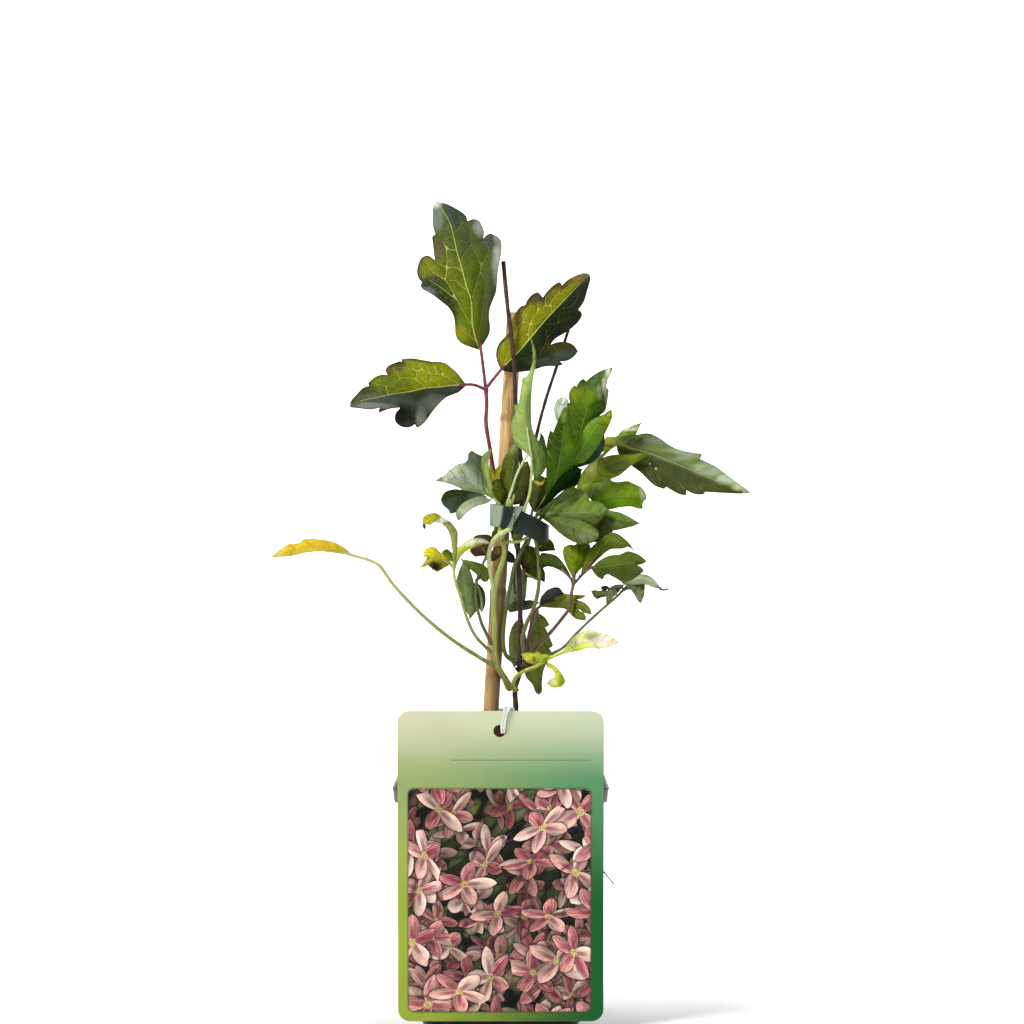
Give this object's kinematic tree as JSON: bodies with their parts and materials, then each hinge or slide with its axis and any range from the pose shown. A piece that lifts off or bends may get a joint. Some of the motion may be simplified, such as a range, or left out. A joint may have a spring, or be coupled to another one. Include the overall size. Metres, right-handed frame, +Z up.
{
  "type": "young potted clematis plant",
  "caption": "Young climbing plant with lobed leaves tied to a bamboo cane, in a square nursery pot with soil and a hang label.",
  "frame": {"origin": "centre of the pot's base, on the surface that it stands on", "axes": "+Z up along the pot, -Y towards the viewer and the hang label, +X to the right"},
  "size_m": [0.2006, 0.095, 0.3468],
  "materials": {
    "pot": "fine satin black moulded plastic, dusty at the rim",
    "soil": "loose dark crumbly potting soil with fibres",
    "cane": "smooth dry bamboo with a faint sheen and a node ring",
    "bark": "dark red-brown vine bark with fine ridges",
    "tape": "dark slate-green plastic tying tape, satin, creased",
    "wire": "bright staple wire",
    "card": "printed plastic card, green shading and a picture panel, semi-gloss",
    "strap": "translucent white flat plastic",
    "dry_stalk": "dry grey-brown stalk",
    "leaf_olive": "olive to yellow-green leaf with pale veins, purple margin and red stalk",
    "leaf_narrow": "pale green narrow leaf",
    "leaf_grey_left": "grey-green leaf with a soft bloom, pale yellow-green stalks",
    "leaf_bright": "bright green leaf with a glossy upper side",
    "leaf_drooping": "grey-green drooping leaf and lime-green lobes",
    "leaf_fan": "matt grey-green leaf, veins pressed in",
    "leaf_gold": "golden yellow leaf on an olive stalk",
    "leaf_yellow": "yellow-green leaflets with brown spots",
    "leaf_brown": "dry curled brown leaf",
    "leaf_strap": "green narrow leaflets",
    "leaf_lower": "green leaflets on a mauve-brown stalk",
    "leaf_curled": "pale grey-green curled leaflets with black tips",
    "leaf_cream": "cream and yellow-green leaf",
    "leaf_dark": "dark green hanging leaf",
    "leaf_fingered": "dark olive leaf",
    "leaf_back": "grey-green leaf underside"
  },
  "bodies": {
    "root": {"pot": "pot", "soil": "soil", "cane": "cane", "main_stem": "bark", "tie_tape": "tape", "staple": "wire", "hang_label": "card", "label_tie": "strap", "dry_stalk": "dry_stalk", "leaf_top": "leaf_olive", "leaf_narrow": "leaf_narrow", "shoot_left_upper": "leaf_grey_left", "shoot_right_front": "leaf_bright", "shoot_right_back": "leaf_drooping", "leaf_fan": "leaf_fan", "leaf_yellow_long": "leaf_gold", "leaf_yellow_small": "leaf_yellow", "leaf_dry": "leaf_brown", "leaf_strap": "leaf_strap", "leaf_right_lower": "leaf_lower", "leaf_right_curled": "leaf_curled", "leaf_pale": "leaf_cream", "leaf_hanging": "leaf_dark", "leaf_fingered": "leaf_fingered", "leaf_back": "leaf_back"}
  },
  "joints": []
}
